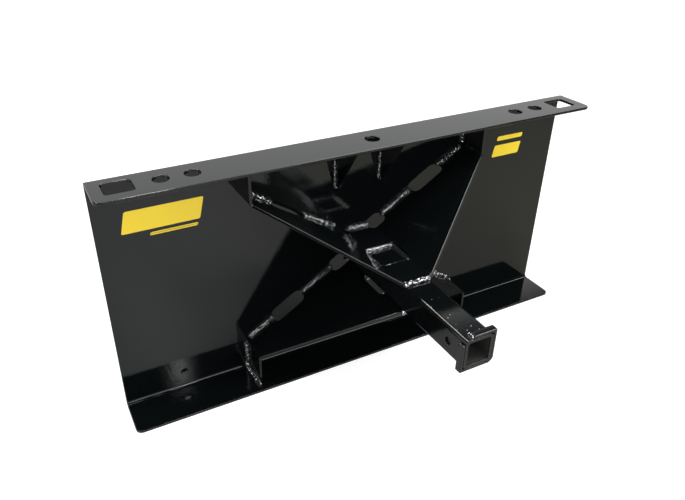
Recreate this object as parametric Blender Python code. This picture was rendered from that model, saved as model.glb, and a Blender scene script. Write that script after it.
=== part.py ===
"""Loader receiver hitch: a folded mounting plate, two folded braces and a square receiver tube.

Metres, +Z up. The hitch stands on its lower flange at z = 0, the plate runs along X and the tube's
mouth points to -Y. Every piece is laid out from the plate's front face (y = 0 in the layout), and
one empty carries them all, so that the origin is the middle of the whole footprint.

Each sheet-metal piece is made the way a press brake makes it: a flat blank is cut, its edges are
eased, and it is then folded round the arcs of its middle line.
"""
import math

import bmesh
import bpy
from mathutils import Matrix, Vector

GAP = 0.0003                    # left between pieces that touch

# Mounting plate: one sheet with both long edges folded forward
PLATE_LENGTH = 1.143
PLATE_HEIGHT = 0.5435           # over both flanges
PLATE_SHEET = 0.00635
PLATE_BEND = 0.0075             # inner radius of its two folds
TOP_FLANGE_REACH = 0.1017       # in front of the plate's front face
LOWER_FLANGE_REACH = 0.0938
TOP_CORNER_RADIUS = 0.016
LOWER_CORNER_RADIUS = 0.014

# Openings in the top flange, all on one row, and a small hole near the plate's left foot
FLANGE_ROW = 0.0502             # from the plate's front face
PIN_SLOT_LENGTH = 0.0553
PIN_SLOT_WIDTH = 0.0497
PIN_SLOT_CORNER = 0.0066
PIN_SLOT_TO_END = 0.0506        # slot centre to the plate's end
FLANGE_HOLE = 0.0319
FLANGE_HOLE_PITCH = 0.0591      # between the two holes of a pair
FLANGE_PAIR_TO_END = 0.1571     # middle of a pair to the plate's end
FOOT_HOLE = 0.0141
FOOT_HOLE_TO_END = 0.1342
FOOT_HOLE_HEIGHT = 0.0413       # above the lower flange

# Receiver tube
TUBE_SIZE = 0.0635
TUBE_WALL = 0.00635
TUBE_CORNER = 0.008
TUBE_INNER_CORNER = 0.0045
TUBE_REACH = 0.4488             # mouth, in front of the plate's front face
PIN_HOLE = 0.0159
PIN_HOLE_SETBACK = 0.0508       # from the mouth

# Collar: two short lengths of angle round the mouth
COLLAR_TOP_LEG = 0.052
COLLAR_WALL = 0.00635
COLLAR_LENGTH = 0.015
COLLAR_EASE = 0.0026

# Braces: one folded part, used upright over the tube and upside down below it
BRACE_SPREAD = 0.5715           # over the outer faces of its legs
BRACE_SHEET = 0.00635
BRACE_BEND = 0.004              # inner radius of its four folds
BRACE_LEG = 0.075               # from the flange to the fold
BRACE_LEG_DEPTH = 0.0731
BRACE_FLAT = 0.0712             # width of the flat on the tube, fold to fold
BRACE_DEPTH = 0.2466            # at that flat
INNER_STITCH_LENGTH = 0.09      # edges left for welds, two on each slope
OUTER_STITCH_LENGTH = 0.076
INNER_NOTCH_LENGTH = 0.0375     # along the slope
NOTCH_INTO_FLAT = 0.0085
NOTCH_DEPTH = 0.0234
NOTCH_CORNER = 0.0155
WINDOW_WIDTH = 0.0778
WINDOW_REAR = 0.0975            # window's near and far edges, from the plate
WINDOW_FRONT = 0.1725
WINDOW_CORNER = 0.0066

# Ribs under the top flange
RIB_X = 0.0562
RIB_SHEET = 0.00635
RIB_REACH = 0.089
RIB_DROP = 0.1116
RIB_TIP = 0.013                 # width of its blunt lower end
RIB_TIP_RADIUS = 0.0047

# Weld beads
WELD_LEG = 0.0085               # leg of the fillets that join sheet to plate
SMALL_WELD_LEG = 0.0056         # of those on the ribs and the collar
WELD_STEP = 0.004
WELD_RIPPLE = 0.09
WELD_END_TAPER = 0.55
WELD_CROWN = (0.78, 0.45)       # a crown point along one leg and off the other, as shares of a leg
FOLD_BEAD_SHARE = 0.75          # how much of the plate's bend radius a bead fills

EDGE_EASE = 0.0007              # worn off every cut edge
BEND_FACETS = 5
ROUND_FACETS = 32
CORNER_FACETS = 4
CUT_MARGIN = 0.02               # how far cutters run past what they cut
SMOOTH_ANGLE = math.radians(32)
TINY = 1e-6

# Worked out from the sizes above
INSIDE_TOP = PLATE_HEIGHT - PLATE_SHEET
TUBE_AXIS = (PLATE_SHEET + INSIDE_TOP) / 2
TUBE_HALF = TUBE_SIZE / 2
LAYOUT_Y = (TUBE_REACH + PLATE_SHEET) / 2 - PLATE_SHEET

X = Vector((1, 0, 0))
Y = Vector((0, 1, 0))
Z = Vector((0, 0, 1))


def clear_scene():
    for old in list(bpy.data.objects):
        bpy.data.objects.remove(old, do_unlink=True)


def steel_paint(name, colour, roughness, metallic=0.0):
    material = bpy.data.materials.new(name)
    material.use_nodes = True
    shader = material.node_tree.nodes["Principled BSDF"]
    shader.inputs["Base Color"].default_value = (*colour, 1.0)
    shader.inputs["Roughness"].default_value = roughness
    shader.inputs["Metallic"].default_value = metallic
    return material


def add_object(name, mesh, parent, material=None, location=(0, 0, 0), rotation=(0, 0, 0)):
    placed = bpy.data.objects.new(name, mesh)
    bpy.context.scene.collection.objects.link(placed)
    placed.parent = parent
    placed.location = location
    placed.rotation_euler = rotation
    if material is not None:
        mesh.materials.clear()
        mesh.materials.append(material)
    return placed


def finish_mesh(bm, name):
    """Closed mesh with its faces out and smooth only where it is round."""
    bmesh.ops.recalc_face_normals(bm, faces=bm.faces)
    mesh = bpy.data.meshes.new(name)
    bm.to_mesh(mesh)
    bm.free()
    mesh.shade_smooth()
    mesh.set_sharp_from_angle(angle=SMOOTH_ANGLE)
    return mesh


class Stretch:
    """A straight or evenly bent length of a sheet's middle line."""

    def __init__(self, begin, length, origin, heading, turn=0.0):
        self.begin = begin
        self.length = length
        self.origin = origin
        self.heading = heading
        self.turn = turn

    @property
    def end(self):
        return self.begin + self.length

    def place(self, along, offset):
        """Point at a developed length, and the sheet's left-hand normal there."""
        left = Vector((-self.heading.y, self.heading.x))
        walked = along - self.begin
        if self.turn == 0.0:
            return self.origin + self.heading * walked + left * offset, left
        radius = self.length / self.turn
        swung = left.copy()
        swung.rotate(Matrix.Rotation(self.turn * walked / self.length, 2))
        centre = self.origin + left * radius
        return centre + swung * (offset - radius), swung


class FoldLine:
    """Middle line of a folded sheet, walked by its developed length."""

    def __init__(self, corners, inner_radius, sheet):
        self.sheet = sheet
        self.stretches = []
        points = [Vector(corner) for corner in corners]
        radius = inner_radius + sheet / 2
        start = points[0]
        walked = 0.0
        for before, corner, after in zip(points, points[1:], points[2:]):
            heading = (corner - before).normalized()
            leaving = (after - corner).normalized()
            turn = math.atan2(heading.x * leaving.y - heading.y * leaving.x, heading.dot(leaving))
            setback = radius * math.tan(abs(turn) / 2)
            bend_start = corner - heading * setback
            run = (bend_start - start).length
            self.stretches.append(Stretch(walked, run, start, heading))
            walked += run
            self.stretches.append(Stretch(walked, radius * abs(turn), bend_start, heading, turn))
            walked += radius * abs(turn)
            start = corner + leaving * setback
        last = points[-1] - start
        self.stretches.append(Stretch(walked, last.length, start, last.normalized()))
        self.length = walked + last.length

    def place(self, along, offset):
        for stretch in self.stretches[:-1]:
            if along <= stretch.end:
                return stretch.place(along, offset)
        return self.stretches[-1].place(along, offset)

    def bend_middle(self, number):
        bend = self.stretches[2 * number + 1]
        return bend.begin + bend.length / 2

    def facet_lines(self):
        for bend in self.stretches[1::2]:
            for step in range(BEND_FACETS + 1):
                yield bend.begin + bend.length * step / BEND_FACETS


def fill_outline(bm, points):
    """One flat face through 2D points, in the blank's plane."""
    corners = [bm.verts.new((along, across, 0)) for along, across in points]
    return bm.faces.new(corners)


def thicken(bm, face, low, high):
    """Turns a flat face into a slab between two heights."""
    for corner in face.verts:
        corner.co.z = low
    grown = bmesh.ops.extrude_face_region(bm, geom=[face])
    lifted = [item for item in grown["geom"] if isinstance(item, bmesh.types.BMVert)]
    bmesh.ops.translate(bm, verts=lifted, vec=(0, 0, high - low))


def round_corners(bm, face, radius, facets=CORNER_FACETS):
    """Rounds all corners of a flat face, by less where the face is too narrow."""
    shortest = min(edge.calc_length() for edge in face.edges)
    bmesh.ops.bevel(bm, geom=list(face.verts), offset=min(radius, shortest * 0.45),
                    segments=facets, profile=0.5, affect='VERTICES')


def rectangle_cutter(bm, middle, size, corner, sheet):
    """Upright cutter with rounded corners, through a flat blank."""
    own = bmesh.new()
    half_a = size[0] / 2
    half_b = size[1] / 2
    face = fill_outline(own, [(-half_a, -half_b), (half_a, -half_b), (half_a, half_b), (-half_a, half_b)])
    round_corners(own, face, corner)
    own.faces.ensure_lookup_table()
    thicken(own, own.faces[0], -sheet / 2 - CUT_MARGIN, sheet / 2 + CUT_MARGIN)
    bmesh.ops.translate(own, verts=own.verts, vec=(middle[0], middle[1], 0))
    join_into(bm, own)


def round_cutter(bm, middle, diameter, sheet, facets=ROUND_FACETS):
    made = bmesh.ops.create_cone(bm, cap_ends=True, segments=facets, radius1=diameter / 2,
                                 radius2=diameter / 2, depth=sheet + 2 * CUT_MARGIN)
    bmesh.ops.translate(bm, verts=made["verts"], vec=(middle[0], middle[1], 0))


def join_into(bm, other):
    """Adds one mesh to another and frees it."""
    bmesh.ops.recalc_face_normals(other, faces=other.faces)
    holder = bpy.data.meshes.new("joined")
    other.to_mesh(holder)
    other.free()
    bm.from_mesh(holder)
    bpy.data.meshes.remove(holder)


def cut_blank(blank, cutters):
    """Boolean cut of a flat blank, applied so that the blank can then be folded."""
    bmesh.ops.recalc_face_normals(blank, faces=blank.faces)
    blank_mesh = bpy.data.meshes.new("blank")
    blank.to_mesh(blank_mesh)
    blank.free()
    cutter_mesh = bpy.data.meshes.new("cutters")
    cutters.to_mesh(cutter_mesh)
    cutters.free()
    body = add_object("blank", blank_mesh, None)
    tool = add_object("cutters", cutter_mesh, None)
    cut = body.modifiers.new("Cut", 'BOOLEAN')
    cut.operation = 'DIFFERENCE'
    cut.solver = 'EXACT'
    cut.object = tool
    evaluated = body.evaluated_get(bpy.context.evaluated_depsgraph_get())
    result = bmesh.new()
    result.from_mesh(evaluated.to_mesh())
    evaluated.to_mesh_clear()
    for used, used_mesh in ((body, blank_mesh), (tool, cutter_mesh)):
        bpy.data.objects.remove(used, do_unlink=True)
        bpy.data.meshes.remove(used_mesh)
    return result


def ease_edges(bm, amount=EDGE_EASE):
    """Takes the sharpness off the two rims of a flat blank."""
    rims = []
    for edge in bm.edges:
        if len(edge.link_faces) == 2:
            facing = [abs(face.normal.z) > 0.5 for face in edge.link_faces]
            if facing[0] != facing[1]:
                rims.append(edge)
    bmesh.ops.bevel(bm, geom=rims, offset=amount, segments=1, profile=0.5, affect='EDGES')


def fold_blank(bm, line, to_space):
    """Cuts facets into the bend areas, then folds every point of the blank round the line."""
    for along in line.facet_lines():
        everything = bm.verts[:] + bm.edges[:] + bm.faces[:]
        bmesh.ops.bisect_plane(bm, geom=everything, plane_co=(along, 0, 0), plane_no=(1, 0, 0))
    for corner in bm.verts:
        point, _ = line.place(corner.co.x, corner.co.z)
        corner.co = to_space(point, corner.co.y)


def plate_fold_line():
    middle = PLATE_SHEET / 2
    corners = [(-LOWER_FLANGE_REACH, middle), (middle, middle),
               (middle, PLATE_HEIGHT - middle), (-TOP_FLANGE_REACH, PLATE_HEIGHT - middle)]
    return FoldLine(corners, PLATE_BEND, PLATE_SHEET)


def flange_hole_places():
    """X positions of the round holes in the top flange."""
    pair = PLATE_LENGTH / 2 - FLANGE_PAIR_TO_END
    half = FLANGE_HOLE_PITCH / 2
    return [-pair - half, -pair + half, 0.0, pair - half, pair + half]


def make_mounting_plate(parent, material):
    line = plate_fold_line()
    half = PLATE_LENGTH / 2
    blank = bmesh.new()
    fill_outline(blank, [(0, -half), (line.length, -half), (line.length, half), (0, half)])
    for lip, radius in ((0.0, LOWER_CORNER_RADIUS), (line.length, TOP_CORNER_RADIUS)):
        tips = [corner for corner in blank.verts if abs(corner.co.x - lip) < TINY]
        bmesh.ops.bevel(blank, geom=tips, offset=radius, segments=CORNER_FACETS + 2, profile=0.5,
                        affect='VERTICES')
    blank.faces.ensure_lookup_table()
    thicken(blank, blank.faces[0], -PLATE_SHEET / 2, PLATE_SHEET / 2)

    row = line.length - (TOP_FLANGE_REACH - FLANGE_ROW)
    wall = line.stretches[2]
    foot = wall.begin + PLATE_SHEET + FOOT_HOLE_HEIGHT - wall.origin.y
    cutters = bmesh.new()
    for side in (-1, 1):
        slot_x = side * (half - PIN_SLOT_TO_END)
        rectangle_cutter(cutters, (row, slot_x), (PIN_SLOT_WIDTH, PIN_SLOT_LENGTH), PIN_SLOT_CORNER,
                         PLATE_SHEET)
    round_cutter(cutters, (foot, FOOT_HOLE_TO_END - half), FOOT_HOLE, PLATE_SHEET, ROUND_FACETS // 2)
    for hole_x in flange_hole_places():
        round_cutter(cutters, (row, hole_x), FLANGE_HOLE, PLATE_SHEET)
    blank = cut_blank(blank, cutters)
    ease_edges(blank)
    fold_blank(blank, line, lambda point, across: Vector((across, point.x, point.y)))
    return add_object("mounting_plate", finish_mesh(blank, "mounting_plate"), parent, material)


def brace_fold_line():
    """Middle line of a brace in X and Z, with z = 0 at its face on the tube."""
    middle = BRACE_SHEET / 2
    leg_x = BRACE_SPREAD / 2 - middle
    end_z = INSIDE_TOP - GAP - (TUBE_AXIS + TUBE_HALF + GAP)
    fold_z = end_z - BRACE_LEG
    flat_x = BRACE_FLAT / 2
    corners = [(-leg_x, end_z), (-leg_x, fold_z), (-flat_x, middle),
               (flat_x, middle), (leg_x, fold_z), (leg_x, end_z)]
    return FoldLine(corners, BRACE_BEND, BRACE_SHEET)


def brace_marks(line):
    """Developed distances from the brace's middle: ends of stitches and notches, going out."""
    centre = line.length / 2
    fold = line.bend_middle(3) - centre
    inner_start = BRACE_FLAT / 2 - NOTCH_INTO_FLAT
    inner_end = BRACE_FLAT / 2 + INNER_NOTCH_LENGTH
    outer_end = fold - OUTER_STITCH_LENGTH
    outer_start = inner_end + INNER_STITCH_LENGTH
    return {"inner_notch": (inner_start, inner_end), "outer_notch": (outer_start, outer_end),
            "inner_stitch": (inner_end, outer_start), "outer_stitch": (outer_end, fold)}


def make_brace_mesh():
    line = brace_fold_line()
    centre = line.length / 2
    marks = brace_marks(line)
    fold = line.bend_middle(3) - centre
    flat = line.bend_middle(2) - centre
    half_outline = [(centre - PLATE_BEND, -GAP), (centre, -GAP - PLATE_BEND), (centre, -BRACE_LEG_DEPTH),
                    (fold, -BRACE_LEG_DEPTH), (flat, -BRACE_DEPTH)]
    outline = [(centre + out, across) for out, across in half_outline]
    outline += [(centre - out, across) for out, across in reversed(half_outline)]
    blank = bmesh.new()
    face = fill_outline(blank, outline)
    thicken(blank, face, -BRACE_SHEET / 2, BRACE_SHEET / 2)

    cutters = bmesh.new()
    window_middle = (centre, -(WINDOW_REAR + WINDOW_FRONT) / 2)
    rectangle_cutter(cutters, window_middle, (WINDOW_WIDTH, WINDOW_FRONT - WINDOW_REAR), WINDOW_CORNER,
                     BRACE_SHEET)
    for side in (-1, 1):
        for notch in ("inner_notch", "outer_notch"):
            start, end = marks[notch]
            middle = (centre + side * (start + end) / 2, (CUT_MARGIN - NOTCH_DEPTH) / 2)
            rectangle_cutter(cutters, middle, (end - start, CUT_MARGIN + NOTCH_DEPTH), NOTCH_CORNER,
                             BRACE_SHEET)
    blank = cut_blank(blank, cutters)
    ease_edges(blank)
    fold_blank(blank, line, lambda point, across: Vector((point.x, across, point.y)))
    return finish_mesh(blank, "brace")


def make_braces(parent, material):
    mesh = make_brace_mesh()
    add_object("upper_brace", mesh, parent, material, (0, 0, TUBE_AXIS + TUBE_HALF + GAP))
    add_object("lower_brace", mesh, parent, material, (0, 0, TUBE_AXIS - TUBE_HALF - GAP), (0, math.pi, 0))


def rounded_square(half, radius):
    """Corner points of a square with round corners, in X and Z."""
    points = []
    for quarter in range(4):
        turn = quarter * math.pi / 2
        centre = Vector((half - radius, half - radius))
        for step in range(CORNER_FACETS + 1):
            angle = step * math.pi / 2 / CORNER_FACETS
            point = centre + Vector((math.cos(angle), math.sin(angle))) * radius
            point.rotate(Matrix.Rotation(turn, 2))
            points.append(point)
    return points


def make_receiver_tube(parent, material):
    bm = bmesh.new()
    loops = []
    for half, radius in ((TUBE_HALF, TUBE_CORNER), (TUBE_HALF - TUBE_WALL, TUBE_INNER_CORNER)):
        loops.append([bm.verts.new((point.x, -GAP, point.y)) for point in rounded_square(half, radius)])
    outer, inner = loops
    count = len(outer)
    ring = []
    for i in range(count):
        j = (i + 1) % count
        ring.append(bm.faces.new((outer[i], outer[j], inner[j], inner[i])))
    grown = bmesh.ops.extrude_face_region(bm, geom=ring)
    moved = [item for item in grown["geom"] if isinstance(item, bmesh.types.BMVert)]
    bmesh.ops.translate(bm, verts=moved, vec=(0, GAP - TUBE_REACH, 0))
    mesh = finish_mesh(bm, "receiver_tube")
    tube = add_object("receiver_tube", mesh, parent, material, (0, 0, TUBE_AXIS))

    drill = bmesh.new()
    bmesh.ops.create_cone(drill, cap_ends=True, segments=ROUND_FACETS, radius1=PIN_HOLE / 2,
                          radius2=PIN_HOLE / 2, depth=TUBE_SIZE + 2 * CUT_MARGIN,
                          matrix=Matrix.Rotation(math.pi / 2, 4, 'Y'))
    pin_y = -(TUBE_REACH - PIN_HOLE_SETBACK)
    cutter = add_object("pin_drill", finish_mesh(drill, "pin_drill"), parent, None, (0, pin_y, TUBE_AXIS))
    cutter.hide_render = True
    cutter.display_type = 'WIRE'
    cut = tube.modifiers.new("Cross pin hole", 'BOOLEAN')
    cut.operation = 'DIFFERENCE'
    cut.solver = 'EXACT'
    cut.object = cutter


def collar_angle_mesh(name, level_leg, upright_leg):
    """Short length of angle, heel at the upper right, sawn to its two legs."""
    inside = TUBE_HALF + GAP
    outside = inside + COLLAR_WALL
    level_toe = outside - level_leg
    upright_toe = outside - upright_leg
    outline = [(outside, outside), (level_toe, outside), (level_toe, inside), (inside, inside),
               (inside, upright_toe), (outside, upright_toe)]
    bm = bmesh.new()
    thicken(bm, fill_outline(bm, outline), 0, COLLAR_LENGTH)
    outer = [edge for edge in bm.edges
             if all(max(corner.co.x, corner.co.y) > outside - TINY for corner in edge.verts)]
    bmesh.ops.bevel(bm, geom=outer, offset=COLLAR_EASE, segments=3, profile=0.5, affect='EDGES')
    for corner in bm.verts:
        corner.co = Vector((corner.co.x, -corner.co.z, corner.co.y))
    return finish_mesh(bm, name)


def make_collar(parent, material):
    """Two angles, heels at opposite corners. All toes but the top one reach the tube's corners."""
    to_corner = 2 * TUBE_HALF - TUBE_CORNER + COLLAR_WALL
    place = (0, COLLAR_LENGTH - TUBE_REACH, TUBE_AXIS)
    upper = collar_angle_mesh("collar_upper_angle", COLLAR_TOP_LEG, to_corner)
    lower = collar_angle_mesh("collar_lower_angle", to_corner, to_corner)
    add_object("collar_upper_angle", upper, parent, material, place)
    add_object("collar_lower_angle", lower, parent, material, place, (0, math.pi, 0))


def make_ribs(parent, material):
    top = -GAP
    outline = [(-GAP - PLATE_BEND, top), (-RIB_REACH, top), (-RIB_TIP, -RIB_DROP), (-GAP, -RIB_DROP),
               (-GAP, top - PLATE_BEND)]
    bm = bmesh.new()
    fill_outline(bm, outline)
    tips = [corner for corner in bm.verts if abs(corner.co.y + RIB_DROP) < TINY]
    bmesh.ops.bevel(bm, geom=tips, offset=min(RIB_TIP_RADIUS, (RIB_TIP - GAP) * 0.45),
                    segments=CORNER_FACETS, profile=0.5, affect='VERTICES')
    bm.faces.ensure_lookup_table()
    thicken(bm, bm.faces[0], -RIB_SHEET / 2, RIB_SHEET / 2)
    ease_edges(bm)
    for corner in bm.verts:
        corner.co = Vector((corner.co.z, corner.co.x, corner.co.y))
    mesh = finish_mesh(bm, "flange_rib")
    for name, side in (("flange_rib_left", -1), ("flange_rib_right", 1)):
        add_object(name, mesh, parent, material, (side * RIB_X, 0, INSIDE_TOP))


def straight_frames(start, end, out, up):
    """Places along a straight weld: point, direction away from the sheet, direction off the wall."""
    steps = max(2, round((end - start).length / WELD_STEP))
    return [(start.lerp(end, step / steps), out, up) for step in range(steps + 1)]


def bead_section(leg):
    """Convex fillet: root, toe on the wall, two crown points, toe on the sheet."""
    far, near = (share * leg for share in WELD_CROWN)
    return [(0, 0), (leg, 0), (far, near), (near, far), (0, leg)]


def add_bead(bm, frames, leg):
    """Sweeps the fillet along its frames, with ripples and tapered ends."""
    rings = []
    last = len(frames) - 1
    for number, (point, out, up) in enumerate(frames):
        swell = 1 + (WELD_RIPPLE if number % 2 else -WELD_RIPPLE)
        if number in (0, last):
            swell = WELD_END_TAPER
        root = point + (out + up.normalized()) * GAP
        ring = [bm.verts.new(root + (out * a + up * b) * swell) for a, b in bead_section(leg)]
        rings.append(ring)
    for before, after in zip(rings, rings[1:]):
        for i in range(len(before)):
            j = (i + 1) % len(before)
            bm.faces.new((before[i], before[j], after[j], after[i]))
    bm.faces.new(rings[0])
    bm.faces.new(rings[-1])


def make_weld(name, runs, leg, parent, material):
    bm = bmesh.new()
    for frames in runs:
        add_bead(bm, frames, leg)
    return add_object(name, finish_mesh(bm, name), parent, material)


def brace_frames(line, start, end, upper, face):
    """Weld along a brace's rear edge, on its face away from the tube (1) or towards it (-1)."""
    steps = max(2, round((end - start) / WELD_STEP))
    flip = 1 if upper else -1
    base = TUBE_AXIS + flip * (TUBE_HALF + GAP)
    frames = []
    for step in range(steps + 1):
        along = line.length / 2 + start + (end - start) * step / steps
        point, left = line.place(along, face * line.sheet / 2)
        out = Vector((left.x, 0, left.y * flip)) * face
        frames.append((Vector((point.x, 0, base + point.y * flip)), out, -Y))
    return frames


def make_brace_welds(parent, material):
    """Stitches between the notches, and the short weld where each flat meets the plate."""
    line = brace_fold_line()
    marks = brace_marks(line)
    bend = line.stretches[7].length / 2
    for level, upper, face in (("upper", True, 1), ("lower", False, -1)):
        for side_name, side in (("left", -1), ("right", 1)):
            for stitch in ("inner_stitch", "outer_stitch"):
                start, end = marks[stitch]
                if stitch == "outer_stitch":
                    end -= bend
                ends = sorted((side * start, side * end))
                frames = brace_frames(line, ends[0], ends[1], upper, face)
                make_weld(f"{level}_{side_name}_{stitch}_weld", [frames], WELD_LEG, parent, material)
        reach = BRACE_FLAT / 2 - NOTCH_INTO_FLAT
        frames = brace_frames(line, -reach, reach, upper, 1)
        make_weld(f"{level}_centre_weld", [frames], WELD_LEG, parent, material)


def leg_frames(side, upper):
    """Along a leg's inner face above and its outer face below: along the plate, round its fold, out
    along the flange and round the leg's toe."""
    flip = 1 if upper else -1
    flange = INSIDE_TOP if upper else PLATE_SHEET
    face_x = side * BRACE_SPREAD / 2
    out = X * side
    fold = flange - flip * (BRACE_LEG - BRACE_BEND)
    if upper:
        face_x -= side * BRACE_SHEET
        out = -out
        fold += WELD_LEG
    toward = Z * flip
    bend_z = flange - flip * PLATE_BEND
    frames = straight_frames(Vector((face_x, 0, fold)), Vector((face_x, 0, bend_z)), out, -Y)[:-1]
    centre = Vector((face_x, -PLATE_BEND, bend_z))
    short_of_centre = min(1.0, FOLD_BEAD_SHARE * PLATE_BEND / WELD_LEG)
    for step in range(CORNER_FACETS + 1):
        angle = step * math.pi / 2 / CORNER_FACETS
        radial = Y * math.cos(angle) + toward * math.sin(angle)
        frames.append((centre + radial * PLATE_BEND, out, -radial * short_of_centre))
    tip = Vector((face_x, -BRACE_LEG_DEPTH, flange))
    frames += straight_frames(Vector((face_x, -PLATE_BEND, flange)), tip, out, -toward)[1:-1]
    frames.append((tip, out - Y, -toward))
    far_tip = tip - out * BRACE_SHEET
    frames += straight_frames(tip, far_tip, -Y, -toward)[1:]
    return frames


def make_leg_welds(parent, material):
    for level, upper in (("upper", True), ("lower", False)):
        for side_name, side in (("left", -1), ("right", 1)):
            name = f"{level}_{side_name}_leg_weld"
            make_weld(name, [leg_frames(side, upper)], WELD_LEG, parent, material)


def make_tube_welds(parent, material):
    """Braces to the tube at their front edge and in their window, and the tube's sides to the plate."""
    reach = TUBE_HALF - TUBE_CORNER / 4
    for level, flip in (("upper", 1), ("lower", -1)):
        face = Z * (TUBE_AXIS + flip * TUBE_HALF)
        up = Z * flip
        for name, y, out, leg in (("front_weld", BRACE_DEPTH, -Y, WELD_LEG),
                                  ("window_rear_weld", WINDOW_REAR, -Y, WELD_LEG),
                                  ("window_front_weld", WINDOW_FRONT, Y, SMALL_WELD_LEG)):
            start = face - X * reach - Y * y
            frames = straight_frames(start, start + X * 2 * reach, out, up)
            make_weld(f"{level}_{name}", [frames], leg, parent, material)
    side_reach = TUBE_HALF - TUBE_CORNER
    for side_name, side in (("left", -1), ("right", 1)):
        wall = X * side * TUBE_HALF + Z * TUBE_AXIS
        frames = straight_frames(wall - Z * side_reach, wall + Z * side_reach, X * side, -Y)
        make_weld(f"tube_root_weld_{side_name}", [frames], WELD_LEG, parent, material)


def make_rib_welds(parent, material):
    """Down one side of a rib, under its tip and up the other side."""
    for side_name, side in (("left", -1), ("right", 1)):
        rib = X * side * RIB_X
        top = Z * (INSIDE_TOP - PLATE_BEND)
        tip = Z * (INSIDE_TOP - RIB_DROP)
        half = X * RIB_SHEET / 2
        frames = straight_frames(rib - half + top, rib - half + tip, -X, -Y)[:-1]
        frames.append((rib - half + tip, -X - Z, -Y))
        frames.append((rib + tip, -Z, -Y))
        frames.append((rib + half + tip, X - Z, -Y))
        frames += straight_frames(rib + half + tip, rib + half + top, X, -Y)[1:]
        make_weld(f"rib_weld_{side_name}", [frames], SMALL_WELD_LEG, parent, material)


def make_collar_welds(parent, material):
    """On the tube along the top leg's sawn end, and between the toes at the lower right corner, where
    the weld is ground to follow the tube."""
    toe = TUBE_HALF + GAP + COLLAR_WALL - COLLAR_TOP_LEG
    start = Vector((toe, COLLAR_LENGTH - TUBE_REACH, TUBE_AXIS + TUBE_HALF))
    end = Vector((toe, GAP - TUBE_REACH, TUBE_AXIS + TUBE_HALF))
    make_weld("collar_upper_weld", [straight_frames(start, end, -X, Z)], SMALL_WELD_LEG, parent, material)

    corner = TUBE_HALF - TUBE_CORNER
    outline = []
    for radius, steps in ((TUBE_CORNER + GAP + COLLAR_WALL, range(2 * CORNER_FACETS + 1)),
                          (TUBE_CORNER + GAP, range(2 * CORNER_FACETS, -1, -1))):
        for step in steps:
            angle = -step * math.pi / 4 / CORNER_FACETS
            outline.append((corner + radius * math.cos(angle), radius * math.sin(angle) - corner))
    bm = bmesh.new()
    thicken(bm, fill_outline(bm, outline), GAP, COLLAR_LENGTH - GAP)
    for point in bm.verts:
        point.co = Vector((point.co.x, -point.co.z, point.co.y))
    mesh = finish_mesh(bm, "collar_corner_weld")
    add_object("collar_corner_weld", mesh, parent, material, (0, COLLAR_LENGTH - TUBE_REACH, TUBE_AXIS))


def main():
    clear_scene()
    layout = bpy.data.objects.new("hitch_layout", None)
    bpy.context.scene.collection.objects.link(layout)
    layout.location = (0, LAYOUT_Y, 0)
    gloss_black = steel_paint("gloss black paint", (0.006, 0.006, 0.006), 0.1)
    weld_black = steel_paint("painted weld", (0.015, 0.015, 0.015), 0.14)
    make_mounting_plate(layout, gloss_black)
    make_braces(layout, gloss_black)
    make_receiver_tube(layout, gloss_black)
    make_collar(layout, gloss_black)
    make_ribs(layout, gloss_black)
    make_brace_welds(layout, weld_black)
    make_leg_welds(layout, weld_black)
    make_tube_welds(layout, weld_black)
    make_rib_welds(layout, weld_black)
    make_collar_welds(layout, weld_black)


main()
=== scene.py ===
"""Looks of a loader receiver hitch: gloss black enamel over folded sheet, square tube and weld beads.

Every sheet is folded again here with finer bends, because gloss paint shows each facet, and every
weld gets its ripples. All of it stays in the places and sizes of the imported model.
"""
import math

import bmesh
import bpy
from mathutils import Matrix, Vector


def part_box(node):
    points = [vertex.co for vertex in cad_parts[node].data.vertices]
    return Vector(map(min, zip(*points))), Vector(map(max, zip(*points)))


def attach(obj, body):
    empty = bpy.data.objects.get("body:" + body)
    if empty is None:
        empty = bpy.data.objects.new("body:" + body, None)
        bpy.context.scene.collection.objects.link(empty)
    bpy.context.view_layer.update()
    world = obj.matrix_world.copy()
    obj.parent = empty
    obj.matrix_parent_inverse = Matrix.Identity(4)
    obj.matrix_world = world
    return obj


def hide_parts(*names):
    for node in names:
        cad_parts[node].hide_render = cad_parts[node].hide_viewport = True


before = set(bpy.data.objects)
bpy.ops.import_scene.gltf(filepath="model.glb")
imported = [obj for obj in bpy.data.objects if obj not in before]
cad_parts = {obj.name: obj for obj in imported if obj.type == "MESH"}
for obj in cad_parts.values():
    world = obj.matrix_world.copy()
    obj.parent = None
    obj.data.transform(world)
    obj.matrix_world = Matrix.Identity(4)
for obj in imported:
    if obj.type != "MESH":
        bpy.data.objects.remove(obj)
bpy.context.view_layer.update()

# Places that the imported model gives, in metres
PLATE_LOW, PLATE_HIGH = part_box("mounting_plate")
BRACE_LOW, BRACE_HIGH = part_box("upper_brace")
TUBE_LOW, TUBE_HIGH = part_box("receiver_tube")
COLLAR_LOW, COLLAR_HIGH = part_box("collar_upper_angle")
RIB_LOW, RIB_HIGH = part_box("flange_rib_right")

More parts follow.
